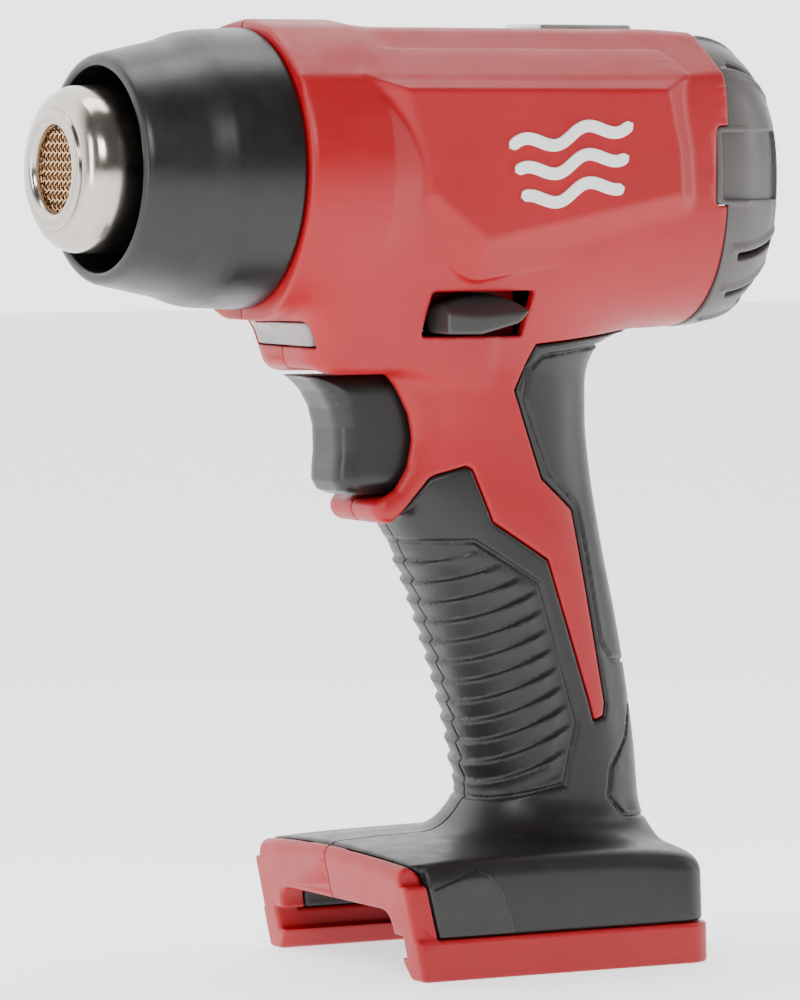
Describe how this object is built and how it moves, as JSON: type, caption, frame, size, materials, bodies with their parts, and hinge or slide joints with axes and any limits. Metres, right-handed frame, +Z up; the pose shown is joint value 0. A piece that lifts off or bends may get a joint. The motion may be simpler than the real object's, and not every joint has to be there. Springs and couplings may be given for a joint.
{
  "type": "cordless heat gun",
  "caption": "Cordless hot-air gun: steel nozzle in a flared cover, pistol grip with trigger and lock lever, slide-on battery foot.",
  "frame": {"origin": "middle of the bounding box on the plane that the battery foot rests on", "axes": "+Z up, from the battery foot to the barrel; -X the way the nozzle points; +Y the tool's right side"},
  "size_m": [0.186, 0.076, 0.224],
  "materials": {
    "red_plastic": "fine matt moulding texture",
    "grip_rubber": "soft overmould, satin",
    "black_plastic": "satin",
    "nozzle_steel": "polished, slightly heat-tinted",
    "bronze_wire": "woven wire",
    "mica": "mica board, matt",
    "screw_steel": "satin",
    "heater_wire": "oxidised resistance wire",
    "motor_steel": "satin",
    "magnet": "sintered",
    "copper_alloy": "satin",
    "rotor_iron": "laminated, varnished",
    "fan_plastic": "glass-filled",
    "grey_plastic": "satin mid grey",
    "dark_grey_plastic": "satin dark grey",
    "frosted_lens": "frosted",
    "circuit_board": "green solder mask",
    "aluminium": "extruded",
    "capacitor_sleeve": "shrink sleeve",
    "red_lead": "insulation",
    "blue_lead": "insulation",
    "white_lead": "glass-fibre sleeve",
    "yellow_lead": "insulation",
    "label_plate": "blank satin plate",
    "white_emblem": "raised moulded mark"
  },
  "bodies": {
    "gun": {"housing_left": "red_plastic", "housing_right": "red_plastic", "grip_left": "grip_rubber", "grip_right": "grip_rubber", "nozzle_cover": "black_plastic", "nozzle": "nozzle_steel", "nozzle_mesh": "bronze_wire", "flange_gasket": "mica", "nozzle_screws": "screw_steel", "heater_tube": "mica", "heater_former": "mica", "heater_coil": "heater_wire", "thermal_cutout": "screw_steel", "air_duct": "black_plastic", "motor_mount": "black_plastic", "motor_can": "motor_steel", "motor_magnets": "magnet", "motor_bushes": "copper_alloy", "intake_screen": "fan_plastic", "rear_cap": "grey_plastic", "cap_screws": "screw_steel", "trigger_spring": "screw_steel", "switch_body": "fan_plastic", "switch_contact": "copper_alloy", "shuttle_pin": "screw_steel", "led_lens": "frosted_lens", "led_board": "circuit_board", "control_board": "circuit_board", "heat_sink": "aluminium", "capacitor": "capacitor_sleeve", "terminal_block": "black_plastic", "contact_blades": "copper_alloy", "battery_leads": "red_lead", "motor_leads": "blue_lead", "heater_leads": "white_lead", "led_leads": "yellow_lead", "housing_screws": "screw_steel", "top_plate": "label_plate", "emblem_left": "white_emblem", "emblem_right": "white_emblem"},
    "trigger": {"trigger": "black_plastic"},
    "fan_spindle": {"fan": "fan_plastic", "motor_shaft": "screw_steel", "rotor": "rotor_iron"},
    "lock": {"lock_shuttle": "dark_grey_plastic"}
  },
  "joints": [
    {"name": "trigger_slide", "type": "slide", "parent": "gun", "child": "trigger", "axis": [1, 0, 0], "range_m": [0, 0.006], "stiffness_N_per_m": 900, "springref_m": -0.004, "deforming": ["trigger_spring"]},
    {"name": "fan_spin", "type": "hinge", "parent": "gun", "child": "fan_spindle", "pos_m": [0.06, 0, 0.189], "axis": [1, 0, 0], "continuous": true},
    {"name": "lock_swing", "type": "hinge", "parent": "gun", "child": "lock", "pos_m": [-0.016, 0, 0.149], "axis": [0, 0, 1], "range_deg": [-5, 5]}
  ]
}
